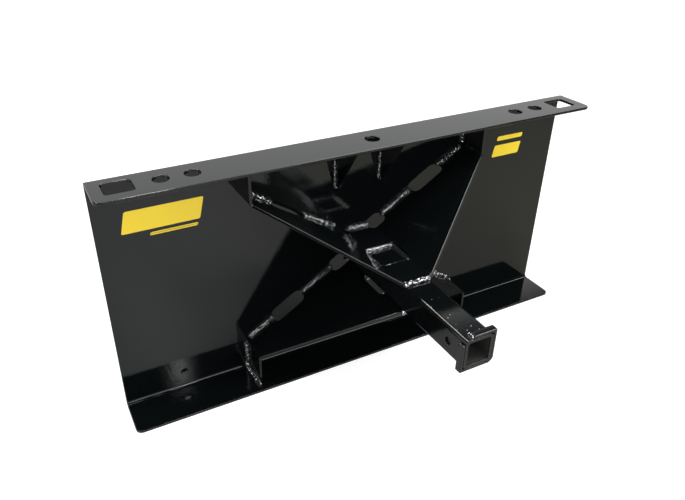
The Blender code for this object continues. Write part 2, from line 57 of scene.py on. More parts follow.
# Real sizes of the sheet, its openings and its welds, in metres
GAP = 0.0003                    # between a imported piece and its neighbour
PLATE_SHEET = 0.00635
PLATE_BEND = 0.0075
LOWER_FLANGE_REACH = 0.0938
TOP_CORNER_RADIUS = 0.016
LOWER_CORNER_RADIUS = 0.014
FLANGE_ROW = 0.0502
PIN_SLOT = (0.0553, 0.0497)
PIN_SLOT_CORNER = 0.0066
PIN_SLOT_TO_END = 0.0506
FLANGE_HOLE = 0.0319
FLANGE_HOLE_PITCH = 0.0591
FLANGE_PAIR_TO_END = 0.1571
FOOT_HOLE = 0.0141
FOOT_HOLE_TO_END = 0.1342
FOOT_HOLE_HEIGHT = 0.0413
TUBE_WALL = 0.00635
TUBE_CORNER = 0.008
TUBE_INNER_CORNER = 0.0045
PIN_HOLE = 0.0159
PIN_HOLE_SETBACK = 0.0508
COLLAR_WALL = 0.00635
BRACE_SHEET = 0.00635
BRACE_BEND = 0.004
BRACE_LEG = 0.075
BRACE_LEG_DEPTH = 0.0731
BRACE_FLAT = 0.0712
INNER_STITCH_LENGTH = 0.09
OUTER_STITCH_LENGTH = 0.076
INNER_NOTCH_LENGTH = 0.0375
NOTCH_INTO_FLAT = 0.0085
NOTCH_DEPTH = 0.0234
NOTCH_CORNER = 0.0155
WINDOW_WIDTH = 0.0778
WINDOW_REAR = 0.0975
WINDOW_FRONT = 0.1725
WINDOW_CORNER = 0.0066
RIB_TIP = 0.013
RIB_TIP_RADIUS = 0.0047
WELD_LEG = 0.0085
SMALL_WELD_LEG = 0.0056
FOLD_BEAD_SHARE = 0.75          # of the fold's radius that a bead may fill

# Plain bars of sheet vinyl: low and high corner on the plate's face, and slant
VINYL = 0.0002
VINYL_CLEARANCE = 0.00005
VINYL_CORNER = 0.004
DECALS = (("left_decal_bar", ((-0.522, 0.4208), (-0.3656, 0.4677)), 0.011),
          ("left_decal_line", ((-0.4688, 0.4068), (-0.3712, 0.4134)), 0.002),
          ("right_decal_bar", ((0.3788, 0.411), (0.4612, 0.441)), 0.0055),
          ("right_decal_line", ((0.3882, 0.4523), (0.4668, 0.4635)), 0.002))

# How finely the looks are made
BEND_SEGMENTS = 14
CORNER_SEGMENTS = 8
ROUND_SEGMENTS = 64
PAINTED_EDGE = 0.0015           # radius that paint gives a sheared edge
TUBE_EDGE = 0.0006
COLLAR_EDGE = 0.002
GROUND_EDGE = 0.0008
EDGE_ANGLE = math.radians(40)   # a corner sharper than this is an edge
SMOOTH_ANGLE = math.radians(35)
NEARLY_ALONG = 0.9              # cosine to a direction
CUT_MARGIN = 0.02
TINY = 1e-5
RIPPLE_PITCH = 0.005            # from one weld ripple to the next
RIPPLE_HALF_LENGTH = 0.0046
RIPPLE_RADIUS = 0.66            # in weld legs
BEAD_OUT_OF_CORNER = 0.3        # in weld legs
BEAD_VOXEL = 0.0008
BEAD_STATION = 0.004
LUMP_SIZE = 0.006
LUMP_HEIGHT = 0.0042

# Colours
ENAMEL_BLACK = "#090C0D"
POOLED_BLACK = "#080808"
# Bare weld metal on the crests; on the tube it is the colour of the painted glints on spatter
BRIGHT_METAL_AND_GLINT = "#E2E4E6"
BARE_STEEL = "#3A3938"
VINYL_YELLOW = "#FADA32"
# Floor paper painted lighter at the left and dimmer, warmer at the right, as painted light
FLOOR_PAINTED_LIGHTER_LEFT = "#BCBCBC"
FLOOR_PAINTED_DIMMER_RIGHT = "#9C9C91"
# Painted shadow behind the plate, and painted shade far in front of it
FLOOR_SHADE = "#101010"
WHITE = (1, 1, 1, 1)

# Sizes of the patterns in the paint, and the floor
SHEET_WAVER = 0.16
DUST_PATCH = 0.09
ORANGE_PEEL = 0.003
WELD_GRAIN = 0.0045
SPATTER_GLINT_PITCH = 0.008
VINYL_WAVER = 0.02
FLOOR_SIZE = 16
# A painted glow on the floor, seen only in reflections: its place and how fast it fades along X and Y
PAINTED_GLOW_SPOT = (-0.445, -0.032)
PAINTED_GLOW_STRETCH = (6.4, 2.1)

# Worked out from the sizes above
FRONT = PLATE_HIGH.y - PLATE_SHEET
HALF_LENGTH = PLATE_HIGH.x
INSIDE_TOP = PLATE_HIGH.z - PLATE_SHEET
TUBE_AXIS = (TUBE_LOW.z + TUBE_HIGH.z) / 2
TUBE_HALF = TUBE_HIGH.x
X = Vector((1, 0, 0))
Y = Vector((0, 1, 0))
Z = Vector((0, 0, 1))

# The photograph's camera, found by fitting its lines
CAMERA_PLACE = Vector((-0.6748, FRONT - 1.1394, PLATE_SHEET + 1.0298))
CAMERA_TURN = (math.radians(59.640), math.radians(-0.381), math.radians(-27.502))
CAMERA_LENS = 34.218
CAMERA_SHIFT = (0.02139, -0.00778)


def deselect():
    bpy.ops.object.select_all(action='DESELECT')


def make_active(piece):
    deselect()
    piece.select_set(True)
    bpy.context.view_layer.objects.active = piece


def pick(piece, parts, test):
    """Selects in edit mode the vertices or edges whose every corner passes the test."""
    bpy.ops.mesh.select_mode(type='VERT' if parts == "verts" else 'EDGE')
    bpy.ops.mesh.select_all(action='DESELECT')
    mesh = bmesh.from_edit_mesh(piece.data)
    for part in getattr(mesh, parts):
        corners = [part] if parts == "verts" else part.verts
        if all(test(corner.co) for corner in corners):
            part.select_set(True)
    bmesh.update_edit_mesh(piece.data)


def apply_modifier(piece, kind, **settings):
    make_active(piece)
    modifier = piece.modifiers.new(kind.title(), kind)
    for name, value in settings.items():
        setattr(modifier, name, value)
    bpy.ops.object.modifier_apply(modifier=modifier.name)


def strip_of_panels(name, edges):
    """Flat panels in a row: a plane set on the first two edges, then extruded from edge to edge.
    The piece is left in edit mode."""
    deselect()
    bpy.ops.mesh.primitive_plane_add(size=1)
    piece = bpy.context.object
    piece.name = name
    bpy.ops.object.mode_set(mode='EDIT')
    mesh = bmesh.from_edit_mesh(piece.data)
    for corner, place in zip(mesh.verts, (*edges[0], *edges[1])):
        corner.co = place
    for last, following in zip(edges[1:], edges[2:]):
        pick(piece, "edges", lambda co: min((co - last[0]).length, (co - last[1]).length) < TINY)
        bpy.ops.mesh.extrude_region_move()
        mesh = bmesh.from_edit_mesh(piece.data)
        for corner in [corner for corner in mesh.verts if corner.select]:
            corner.co = following[0] if (corner.co - last[0]).length < TINY else following[1]
        bmesh.update_edit_mesh(piece.data)
    return piece


def bend_fold(piece, edge, turn, radius):
    """Rounds one fold to the bend's middle radius."""
    pick(piece, "edges", lambda co: min((co - edge[0]).length, (co - edge[1]).length) < TINY)
    bpy.ops.mesh.bevel(offset=radius * math.tan(turn / 2), segments=BEND_SEGMENTS, profile=0.5,
                       affect='EDGES')


def round_tips(piece, places, radius, segments=CORNER_SEGMENTS):
    """Rounds the corners of a sheet's outline."""
    pick(piece, "verts", lambda co: any((co - place).length < TINY for place in places))
    bpy.ops.mesh.bevel(offset=radius, segments=segments, profile=0.5, affect='VERTICES')


def pick_uprights(piece, along):
    """Selects in edit mode the edges that run in one direction."""
    bpy.ops.mesh.select_mode(type='EDGE')
    bpy.ops.mesh.select_all(action='DESELECT')
    mesh = bmesh.from_edit_mesh(piece.data)
    for edge in mesh.edges:
        run = (edge.verts[0].co - edge.verts[1].co).normalized()
        edge.select_set(abs(run.dot(along)) > NEARLY_ALONG)
    bmesh.update_edit_mesh(piece.data)


def block(low, high, radius, along):
    """A cutter or a blank: a box whose four edges along one direction are rounded."""
    deselect()
    middle = (low + high) / 2
    bpy.ops.mesh.primitive_cube_add(size=1, location=middle)
    made = bpy.context.object
    made.scale = high - low
    bpy.ops.object.transform_apply()
    if radius > 0:
        bpy.ops.object.mode_set(mode='EDIT')
        pick_uprights(made, along)
        bpy.ops.mesh.bevel(offset=radius, segments=CORNER_SEGMENTS, profile=0.5, affect='EDGES')
        bpy.ops.object.mode_set(mode='OBJECT')
    return made


def drill(middle, diameter, turn=(0, 0, 0), depth=0.1):
    deselect()
    bpy.ops.mesh.primitive_cylinder_add(vertices=ROUND_SEGMENTS, radius=diameter / 2, depth=depth,
                                        location=middle, rotation=turn)
    bpy.ops.object.transform_apply()
    return bpy.context.object


def cut(piece, cutters):
    """Takes all cutters out of the piece in one Boolean."""
    make_active(cutters[0])
    for cutter in cutters:
        cutter.select_set(True)
    if len(cutters) > 1:
        bpy.ops.object.join()
    joined = bpy.context.object
    apply_modifier(piece, 'BOOLEAN', object=joined, operation='DIFFERENCE', solver='EXACT')
    bpy.data.objects.remove(joined)


def paint_edges(piece, radius=PAINTED_EDGE):
    """Rounds sheared edges a little and keeps the flats flat in their shading."""
    apply_modifier(piece, 'BEVEL', width=radius, segments=3, limit_method='ANGLE',
                   angle_limit=EDGE_ANGLE, miter_outer='MITER_ARC', use_clamp_overlap=False)
    make_active(piece)
    bpy.ops.object.shade_smooth_by_angle(angle=SMOOTH_ANGLE)
    apply_modifier(piece, 'WEIGHTED_NORMAL', keep_sharp=True, weight=80)


def dress(piece, node, material):
    """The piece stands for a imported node, in its material."""
    piece.data.materials.clear()
    piece.data.materials.append(material)
    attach(piece, "root")
    if node:
        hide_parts(node)


def fold_mounting_plate():
    """Lower flange, wall and top flange from one strip, bent, rounded at its lips and punched."""
    middle = PLATE_SHEET / 2
    wall_y = FRONT + middle
    profile = [(FRONT - LOWER_FLANGE_REACH, middle), (wall_y, middle),
               (wall_y, PLATE_HIGH.z - middle), (PLATE_LOW.y, PLATE_HIGH.z - middle)]
    edges = [(Vector((-HALF_LENGTH, y, z)), Vector((HALF_LENGTH, y, z))) for y, z in profile]
    plate = strip_of_panels("folded_plate", edges)
    for fold in (edges[1], edges[2]):
        bend_fold(plate, fold, math.pi / 2, PLATE_BEND + middle)
    round_tips(plate, edges[0], LOWER_CORNER_RADIUS)
    round_tips(plate, edges[3], TOP_CORNER_RADIUS)
    bpy.ops.object.mode_set(mode='OBJECT')
    apply_modifier(plate, 'SOLIDIFY', thickness=PLATE_SHEET, offset=0, use_even_offset=True)

    row_y = FRONT - FLANGE_ROW
    pair_x = HALF_LENGTH - FLANGE_PAIR_TO_END
    half_pitch = FLANGE_HOLE_PITCH / 2
    cutters = [drill((0, row_y, INSIDE_TOP), FLANGE_HOLE)]
    for side in (-1, 1):
        slot = Vector((side * (HALF_LENGTH - PIN_SLOT_TO_END), row_y, INSIDE_TOP))
        half_slot = Vector((PIN_SLOT[0] / 2, PIN_SLOT[1] / 2, CUT_MARGIN))
        cutters.append(block(slot - half_slot, slot + half_slot, PIN_SLOT_CORNER, Z))
        for step in (-1, 1):
            hole_x = side * pair_x + step * half_pitch
            cutters.append(drill((hole_x, row_y, INSIDE_TOP), FLANGE_HOLE))
    foot = (FOOT_HOLE_TO_END - HALF_LENGTH, wall_y, PLATE_SHEET + FOOT_HOLE_HEIGHT)
    cutters.append(drill(foot, FOOT_HOLE, (math.pi / 2, 0, 0)))
    cut(plate, cutters)
    paint_edges(plate)
    return plate


def brace_corners():
    """Corners of the upper brace's middle line in X and Z: the flat's, the leg's and its end."""
    middle = BRACE_SHEET / 2
    leg_x = BRACE_HIGH.x - middle
    flat = Vector((BRACE_FLAT / 2, 0, BRACE_LOW.z + middle))
    fold = Vector((leg_x, 0, BRACE_HIGH.z - BRACE_LEG))
    return flat, fold, Vector((leg_x, 0, BRACE_HIGH.z))


def brace_marks():
    """Distances along the slope from the flat's corner: ends of the notches and stitches."""
    flat, fold, _ = brace_corners()
    slope = (fold - flat).length
    stitch_start = INNER_NOTCH_LENGTH
    notch_start = stitch_start + INNER_STITCH_LENGTH
    notch_end = slope - OUTER_STITCH_LENGTH
    return {"inner_notch": (-NOTCH_INTO_FLAT, stitch_start),
            "inner_stitch": (stitch_start, notch_start),
            "outer_notch": (notch_start, notch_end),
            "outer_stitch": (notch_end, slope - BRACE_BEND)}


def notch_cutter(side, start, end):
    """Block with round corners, set square to the slope at the brace's rear edge."""
    flat, fold, _ = brace_corners()
    slope = (fold - flat).normalized()
    half = Vector(((end - start) / 2, (CUT_MARGIN + NOTCH_DEPTH) / 2, CUT_MARGIN))
    cutter = block(-half, half, NOTCH_CORNER, Z)
    place = flat + slope * (start + end) / 2
    cutter.location = (side * place.x, BRACE_HIGH.y + (CUT_MARGIN - NOTCH_DEPTH) / 2, place.z)
    cutter.rotation_euler = (0, -side * math.atan2(slope.z, slope.x), 0)
    make_active(cutter)
    bpy.ops.object.transform_apply()
    return cutter


def fold_brace():
    """Leg, slope, flat, slope and leg from one strip, with its folds, notches and window."""
    flat, fold, end = brace_corners()
    rear = BRACE_HIGH.y
    leg_front = FRONT - BRACE_LEG_DEPTH
    right = [(flat, BRACE_LOW.y), (fold, leg_front), (end, leg_front)]
    edges = [(Vector((place.x, rear, place.z)), Vector((place.x, front, place.z)))
             for place, front in right]
    left = [tuple(Vector((-point.x, point.y, point.z)) for point in edge)
            for edge in reversed(edges)]
    stations = left + edges
    brace = strip_of_panels("upper_folded_brace", stations)
    radius = BRACE_BEND + BRACE_SHEET / 2
    slope_turn = math.atan2(fold.z - flat.z, fold.x - flat.x)
    for station in (1, 4):
        bend_fold(brace, stations[station], math.pi / 2 - slope_turn, radius)
    for station in (2, 3):
        bend_fold(brace, stations[station], slope_turn, radius)
    round_tips(brace, (stations[0][0], stations[5][0]), PLATE_BEND, segments=1)
    bpy.ops.object.mode_set(mode='OBJECT')
    apply_modifier(brace, 'SOLIDIFY', thickness=BRACE_SHEET, offset=0, use_even_offset=True)

    marks = brace_marks()
    half_window = WINDOW_WIDTH / 2
    window_low = Vector((-half_window, FRONT - WINDOW_FRONT, BRACE_LOW.z - CUT_MARGIN))
    window_high = Vector((half_window, FRONT - WINDOW_REAR, BRACE_LOW.z + 2 * CUT_MARGIN))
    cutters = [block(window_low, window_high, WINDOW_CORNER, Z)]
    for side in (-1, 1):
        for notch in ("inner_notch", "outer_notch"):
            cutters.append(notch_cutter(side, *marks[notch]))
    cut(brace, cutters)
    paint_edges(brace)
    return brace


def set_decal(name, corners, slant):
    """Plain sheet-vinyl bar with slanted ends and round corners, on the plate's front face."""
    low, high = corners
    middle = (low + high) / 2
    face = Vector((middle.x, FRONT - VINYL / 2 - VINYL_CLEARANCE, middle.y))
    half = Vector(((high.x - low.x) / 2, VINYL / 2, (high.y - low.y) / 2))
    decal = block(face - half, face + half, 0, Y)
    decal.name = name
    bpy.ops.object.mode_set(mode='EDIT')
    pick(decal, "verts", lambda co: co.z > face.z)
    bpy.ops.transform.translate(value=(slant, 0, 0))
    pick_uprights(decal, Y)
    bpy.ops.mesh.bevel(offset=VINYL_CORNER, segments=CORNER_SEGMENTS, profile=0.5, affect='EDGES')
    bpy.ops.object.mode_set(mode='OBJECT')
    return decal


def copy_placed(piece, name, change):
    """A copy with its own mesh, moved or turned by a matrix."""
    deselect()
    twin = piece.copy()
    twin.data = piece.data.copy()
    twin.name = name
    bpy.context.scene.collection.objects.link(twin)
    twin.matrix_world = change
    make_active(twin)
    bpy.ops.object.transform_apply()
    return twin


def half_turn():
    """Half a turn about the tube's axis, which makes the lower pieces from the upper ones."""
    axis = Matrix.Translation((0, 0, TUBE_AXIS))
    return axis @ Matrix.Rotation(math.pi, 4, 'Y') @ axis.inverted()


def draw_receiver_tube():
    tube = block(TUBE_LOW, TUBE_HIGH, TUBE_CORNER, Y)
    tube.name = "square_tube"
    inset = Vector((TUBE_WALL, -CUT_MARGIN, TUBE_WALL))
    socket = block(TUBE_LOW + inset, TUBE_HIGH - inset, TUBE_INNER_CORNER, Y)
    pin = drill((0, TUBE_LOW.y + PIN_HOLE_SETBACK, TUBE_AXIS), PIN_HOLE, (0, math.pi / 2, 0))
    cut(tube, [socket, pin])
    paint_edges(tube, TUBE_EDGE)
    return tube


def saw_collar_angle(name, node, heel):
    """A block with all but the two walls at its heel taken out: upper right (1) or lower left (-1)."""
    low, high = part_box(node)
    angle = block(low, high, 0, Y)
    angle.name = name
    walls = Vector((COLLAR_WALL, 0, COLLAR_WALL)) * heel
    room = Vector((CUT_MARGIN, 0, CUT_MARGIN)) * heel
    depth = Y * CUT_MARGIN
    open_corner, heel_corner = (low, high) if heel > 0 else (high, low)
    far = open_corner - room
    near = heel_corner - walls
    hollow_low = Vector((min(far.x, near.x), low.y, min(far.z, near.z))) - depth
    hollow_high = Vector((max(far.x, near.x), high.y, max(far.z, near.z))) + depth
    cut(angle, [block(hollow_low, hollow_high, 0, Y)])
    paint_edges(angle, COLLAR_EDGE)
    return angle


def grind_corner_weld():
    """Weld between the collar's toes at the lower right, ground to a quarter of a ring. Its cutters
    overlap, so they are taken out one by one."""
    low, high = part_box("collar_corner_weld")
    corner_z = TUBE_AXIS - TUBE_HALF + TUBE_CORNER
    centre = Vector((TUBE_HALF - TUBE_CORNER, (low.y + high.y) / 2, corner_z))
    inner = TUBE_CORNER + GAP
    along_tube = (math.pi / 2, 0, 0)
    ring = drill(centre, 2 * (inner + COLLAR_WALL), along_tube, high.y - low.y)
    ring.name = "collar_corner_fill"
    room = 2 * CUT_MARGIN
    cut(ring, [drill(centre, 2 * inner, along_tube)])
    cut(ring, [block(centre - (X + Y + Z) * room, centre + (Y + Z) * room, 0, Y)])
    cut(ring, [block(centre - (X + Y) * room, centre + (X + Y + Z) * room, 0, Y)])
    paint_edges(ring, GROUND_EDGE)
    return ring


def cut_rib():
    """Triangular rib with a blunt tip and a clipped rear corner, at the right-hand place."""
    x = (RIB_LOW.x + RIB_HIGH.x) / 2
    wall = RIB_HIGH.y
    top = RIB_HIGH.z
    tip = RIB_LOW.z
    edges = [(Vector((x, wall, top)), Vector((x, RIB_LOW.y, top))),
             (Vector((x, wall, tip)), Vector((x, FRONT - RIB_TIP, tip)))]
    rib = strip_of_panels("right_rib", edges)
    round_tips(rib, edges[1], RIB_TIP_RADIUS)
    round_tips(rib, (edges[0][0],), PLATE_BEND, segments=1)
    bpy.ops.object.mode_set(mode='OBJECT')
    apply_modifier(rib, 'SOLIDIFY', thickness=RIB_HIGH.x - RIB_LOW.x, offset=0)
    paint_edges(rib)
    return rib


def straight_seam(start, end, out, up):
    """Places along a seam, each with the two directions that leave its corner."""
    steps = max(2, round((end - start).length / BEAD_STATION))
    return [(start.lerp(end, step / steps), out, up) for step in range(steps + 1)]


def stitch_seam(side, upper, mark):
    """Along a slope's rear edge, on the face that looks up. The lower brace's slopes are the upper
    ones upside down, so there it is the upper brace's under face, turned over."""
    flat, fold, _ = brace_corners()
    slope = (fold - flat).normalized()
    up = Vector((-slope.z, 0, slope.x))
    if not upper:
        up = -up
    start, end = brace_marks()[mark]
    placed = []
    for point, out, away in straight_seam(flat + slope * start, flat + slope * end, up, -Y):
        point = point + up * BRACE_SHEET / 2
        height, out_z = (point.z, out.z) if upper else (2 * TUBE_AXIS - point.z, -out.z)
        place = Vector((side * point.x, FRONT, height))
        placed.append((place, Vector((side * out.x, 0, out_z)), away))
    return placed


def leg_seam(side, upper):
    """Along a leg's inner face above and its outer face below: up or down the plate, round its fold,
    out along the flange and round the leg's toe."""
    flip = 1 if upper else -1
    flange = INSIDE_TOP if upper else PLATE_SHEET
    face_x = side * BRACE_HIGH.x
    out = X * side
    fold = flange - flip * (BRACE_LEG - BRACE_BEND)
    if upper:
        face_x -= side * BRACE_SHEET
        out = -out
        fold += WELD_LEG
    toward = Z * flip
    bend_z = flange - flip * PLATE_BEND
    seam = straight_seam(Vector((face_x, FRONT, fold)), Vector((face_x, FRONT, bend_z)), out, -Y)
    seam.pop()
    centre = Vector((face_x, FRONT - PLATE_BEND, bend_z))
    short_of_centre = min(1.0, FOLD_BEAD_SHARE * PLATE_BEND / WELD_LEG)
    for step in range(CORNER_SEGMENTS + 1):
        angle = step * math.pi / 2 / CORNER_SEGMENTS
        radial = Y * math.cos(angle) + toward * math.sin(angle)
        seam.append((centre + radial * PLATE_BEND, out, -radial * short_of_centre))
    tip = Vector((face_x, FRONT - BRACE_LEG_DEPTH, flange))
    seam += straight_seam(Vector((face_x, FRONT - PLATE_BEND, flange)), tip, out, -toward)[1:-1]
    seam.append((tip, (out - Y) * 0.5, -toward))
    seam.append((tip - out * BRACE_SHEET, -Y * 0.5, -toward))
    return seam


def rib_seam(side):
    """Down one side of a rib, under its tip and up the other side."""
    half = (RIB_HIGH.x - RIB_LOW.x) / 2
    middle = side * (RIB_HIGH.x + RIB_LOW.x) / 2
    top = INSIDE_TOP - PLATE_BEND
    left = Vector((middle - half, FRONT, top))
    right = Vector((middle + half, FRONT, top))
    drop = Z * (top - RIB_LOW.z)
    seam = straight_seam(left, left - drop, -X, -Y)
    seam += straight_seam(left - drop, right - drop, -Z, -Y)[1:-1]
    seam += straight_seam(right - drop, right, X, -Y)
    return seam


def collar_seam():
    """On the tube, along the sawn end of the collar's top leg."""
    back = Vector((COLLAR_LOW.x, COLLAR_HIGH.y, TUBE_HIGH.z))
    front = Vector((COLLAR_LOW.x, COLLAR_LOW.y + SMALL_WELD_LEG / 2, TUBE_HIGH.z))
    return straight_seam(back, front, -X, Z)


def weld_seams():
    """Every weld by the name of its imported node, with its leg length."""
    seams = {}
    for level, upper in (("upper", True), ("lower", False)):
        flip = 1 if upper else -1
        for side_name, side in (("left", -1), ("right", 1)):
            for mark in ("inner_stitch", "outer_stitch"):
                seam = stitch_seam(side, upper, mark)
                seams[f"{level}_{side_name}_{mark}_weld"] = (seam, WELD_LEG)
            seams[f"{level}_{side_name}_leg_weld"] = (leg_seam(side, upper), WELD_LEG)
        flat_reach = X * (BRACE_FLAT / 2 - NOTCH_INTO_FLAT)
        flat_face = Vector((0, FRONT, TUBE_AXIS + flip * (TUBE_HALF + GAP + BRACE_SHEET)))
        seams[f"{level}_centre_weld"] = (
            straight_seam(flat_face - flat_reach, flat_face + flat_reach, Z * flip, -Y), WELD_LEG)
        reach = X * (TUBE_HALF - TUBE_CORNER / 4)
        face = Z * (TUBE_AXIS + flip * TUBE_HALF)
        for name, y, out, leg in (("front_weld", BRACE_LOW.y, -Y, WELD_LEG),
                                  ("window_rear_weld", FRONT - WINDOW_REAR, -Y, WELD_LEG),
                                  ("window_front_weld", FRONT - WINDOW_FRONT, Y, SMALL_WELD_LEG)):
            line = face + Y * y
            seams[f"{level}_{name}"] = (straight_seam(line - reach, line + reach, out, Z * flip), leg)
    for side_name, side in (("left", -1), ("right", 1)):
        wall = Vector((side * TUBE_HALF, FRONT, TUBE_AXIS))
        side_reach = Z * (TUBE_HALF - TUBE_CORNER)
        seams[f"tube_root_weld_{side_name}"] = (
            straight_seam(wall - side_reach, wall + side_reach, X * side, -Y), WELD_LEG)
        seams[f"rib_weld_{side_name}"] = (rib_seam(side), SMALL_WELD_LEG)
    seams["collar_upper_weld"] = (collar_seam(), SMALL_WELD_LEG)
    return seams


def seam_curve(seam, leg):
    """Curve that the bead's ripples follow, a little out of the corner."""
    curve = bpy.data.curves.new("seam", 'CURVE')
    curve.dimensions = '3D'
    spline = curve.splines.new('POLY')
    spline.points.add(len(seam) - 1)
    for point, (place, out, up) in zip(spline.points, seam):
        point.co = (*(place + (out + up) * leg * BEAD_OUT_OF_CORNER), 1)
    path = bpy.data.objects.new("seam", curve)
    bpy.context.scene.collection.objects.link(path)
    return path, spline.calc_length()


def lay_bead(name, seam, leg):
    """A row of overlapping ripples along the seam, fused and made a little uneven."""
    path, length = seam_curve(seam, leg)
    deselect()
    scale = leg / WELD_LEG
    pitch = RIPPLE_PITCH * scale
    bpy.ops.mesh.primitive_uv_sphere_add(segments=24, ring_count=12, radius=leg * RIPPLE_RADIUS)
    bead = bpy.context.object
    bead.name = "bead_" + name
    bead.scale = (RIPPLE_HALF_LENGTH / (WELD_LEG * RIPPLE_RADIUS), 1, 1)
    bpy.ops.object.transform_apply()
    apply_modifier(bead, 'ARRAY', count=max(3, round(length / pitch)), use_relative_offset=False,
                   use_constant_offset=True, constant_offset_displace=(pitch, 0, 0))
    apply_modifier(bead, 'CURVE', object=path, deform_axis='POS_X')
    apply_modifier(bead, 'REMESH', mode='VOXEL', voxel_size=BEAD_VOXEL * scale)
    lumps = bpy.data.textures.new("bead_lumps", 'CLOUDS')
    lumps.noise_scale = LUMP_SIZE
    apply_modifier(bead, 'DISPLACE', texture=lumps, texture_coords='LOCAL',
                   strength=LUMP_HEIGHT * scale, mid_level=0.5)
    apply_modifier(bead, 'SMOOTH', factor=0.5, iterations=1)
    bpy.data.objects.remove(path)
    make_active(bead)
    bpy.ops.object.shade_smooth()
    return bead


def linear_colour(code):
    """sRGB hex code as linear red, green, blue and alpha."""
    channels = [int(code[start:start + 2], 16) / 255 for start in (1, 3, 5)]
    linear = [value / 12.92 if value <= 0.04045 else ((value + 0.055) / 1.055) ** 2.4
              for value in channels]
    return (*linear, 1.0)


def add_node(tree, kind, inputs=None, **settings):
    """Adds a node. Each of its inputs is given a socket to link or a value. A setting is the value of
    the input with that name, or else a property of the node."""
    node = tree.nodes.new(kind)
    for name, value in settings.items():
        socket = node.inputs.get(name.replace("_", " ").title())
        if socket is None:
            setattr(node, name, value)
        else:
            socket.default_value = value
    for name, source in (inputs or {}).items():
        if isinstance(source, bpy.types.NodeSocket):
            tree.links.new(source, node.inputs[name])
        else:
            node.inputs[name].default_value = source
    return node


def maths(tree, operation, *values):
    """Result of one sum. Each value is a socket or a number."""
    return add_node(tree, "ShaderNodeMath", dict(enumerate(values)), operation=operation).outputs[0]


def times(tree, first, second):
    return maths(tree, 'MULTIPLY', first, second)


def from_middle(tree, value, middle):
    """How far a coordinate lies from a middle, on either side."""
    return maths(tree, 'ABSOLUTE', maths(tree, 'SUBTRACT', value, middle))


def faded(tree, value, near, far, at_near, at_far):
    """A value that changes smoothly between two places."""
    ramp = add_node(tree, "ShaderNodeMapRange", {"Value": value}, interpolation_type='SMOOTHSTEP',
                    from_min=near, from_max=far, to_min=at_near, to_max=at_far)
    return ramp.outputs["Result"]


def mixed(tree, share, first, second):
    """Blend of two colours, from none to all of the second. Each is a hex code or a socket."""
    first, second = (linear_colour(colour) if isinstance(colour, str) else colour
                     for colour in (first, second))
    blend = add_node(tree, "ShaderNodeMixRGB", {"Fac": share, "Color1": first, "Color2": second})
    return blend.outputs["Color"]


def noise(tree, place, size, detail):
    """Cloudy pattern whose patches have a real size."""
    clouds = add_node(tree, "ShaderNodeTexNoise", {"Vector": place}, scale=1 / size, detail=detail)
    return clouds.outputs["Fac"]


def apart(tree, vector):
    """The three numbers of a vector or a colour, by their axes."""
    return add_node(tree, "ShaderNodeSeparateXYZ", {"Vector": vector}).outputs


def blank_material(name):
    """A material, its empty node tree, and the place on the object that patterns hang on."""
    material = bpy.data.materials.new(name)
    material.use_nodes = True
    tree = material.node_tree
    tree.nodes.clear()
    return material, tree, add_node(tree, "ShaderNodeTexCoord").outputs["Object"]


def give_surface(tree, inputs, **settings):
    shader = add_node(tree, "ShaderNodeBsdfPrincipled", inputs, **settings)
    add_node(tree, "ShaderNodeOutputMaterial", {"Surface": shader.outputs["BSDF"]})


def sprayed_skin(tree, place):
    """Roughness and normal of sprayed enamel: sheet waver, orange peel and a dull film in patches."""
    haze = add_node(tree, "ShaderNodeMapRange", {"Value": noise(tree, place, DUST_PATCH, 6.0)},
                    to_min=0.02, to_max=0.045)
    sheet = add_node(tree, "ShaderNodeBump", {"Height": noise(tree, place, SHEET_WAVER, 1.0)},
                     strength=0.25, distance=0.0008)
    skin = add_node(tree, "ShaderNodeBump", {"Height": noise(tree, place, ORANGE_PEEL, 2.0),
                                             "Normal": sheet.outputs["Normal"]},
                    strength=0.35, distance=0.0002)
    return haze.outputs["Result"], skin.outputs["Normal"]


def sprayed_enamel():
    """Gloss enamel sprayed on sheet steel: near black, with sharp reflections that waver a little
    with the sheet, faint orange peel and a film of dust that dulls it in patches."""
    material, tree, place = blank_material("gloss_black_enamel_sprayed")
    roughness, normal = sprayed_skin(tree, place)
    give_surface(tree, {"Roughness": roughness, "Normal": normal},
                 base_color=linear_colour(ENAMEL_BLACK))
    return material


def enamel_on_receiver():
    """The same enamel on the tube. The spray doesn't reach into the socket, where hot-rolled steel
    stays a matt grey. On the top face near the mouth, specks of weld spatter are painted bright white
    as glints: a painted highlight for the light that the spatter catches."""
    material, tree, place = blank_material("gloss_black_enamel_on_receiver")
    axes = apart(tree, place)
    roughness, normal = sprayed_skin(tree, place)

    reach = maths(tree, 'MAXIMUM', from_middle(tree, axes["X"], 0),
                  from_middle(tree, axes["Z"], TUBE_AXIS))
    opening = TUBE_HALF - TUBE_WALL
    in_socket = faded(tree, reach, opening + 0.0002, opening + 0.0005, 1, 0)
    past_spray = faded(tree, axes["Y"], TUBE_LOW.y + 0.001, TUBE_LOW.y + 0.004, 0, 1)
    bare = times(tree, in_socket, past_spray)

    # Painted glints: bright white specks of weld spatter on the top face, near the mouth
    specks = add_node(tree, "ShaderNodeTexVoronoi", {"Vector": place}, scale=1 / SPATTER_GLINT_PITCH).outputs
    speck = faded(tree, specks["Distance"], 0.06, 0.12, 1, 0)
    one_in_three = faded(tree, apart(tree, specks["Color"])["X"], 0.62, 0.66, 0, 1)
    near_mouth = faded(tree, axes["Y"], TUBE_LOW.y + 0.1, TUBE_LOW.y + 0.17, 1, 0)
    on_top = faded(tree, axes["Z"], TUBE_HIGH.z - 0.0005, TUBE_HIGH.z - 0.0003, 0, 1)
    spatter_glints = times(tree, times(tree, speck, one_in_three), times(tree, near_mouth, on_top))

    black_or_bare = mixed(tree, bare, ENAMEL_BLACK, BARE_STEEL)
    dull = maths(tree, 'ADD', roughness, faded(tree, bare, 0, 1, 0, 0.5))
    give_surface(tree, {"Base Color": mixed(tree, spatter_glints, black_or_bare, BRIGHT_METAL_AND_GLINT),
                        "Roughness": dull, "Normal": normal})
    return material


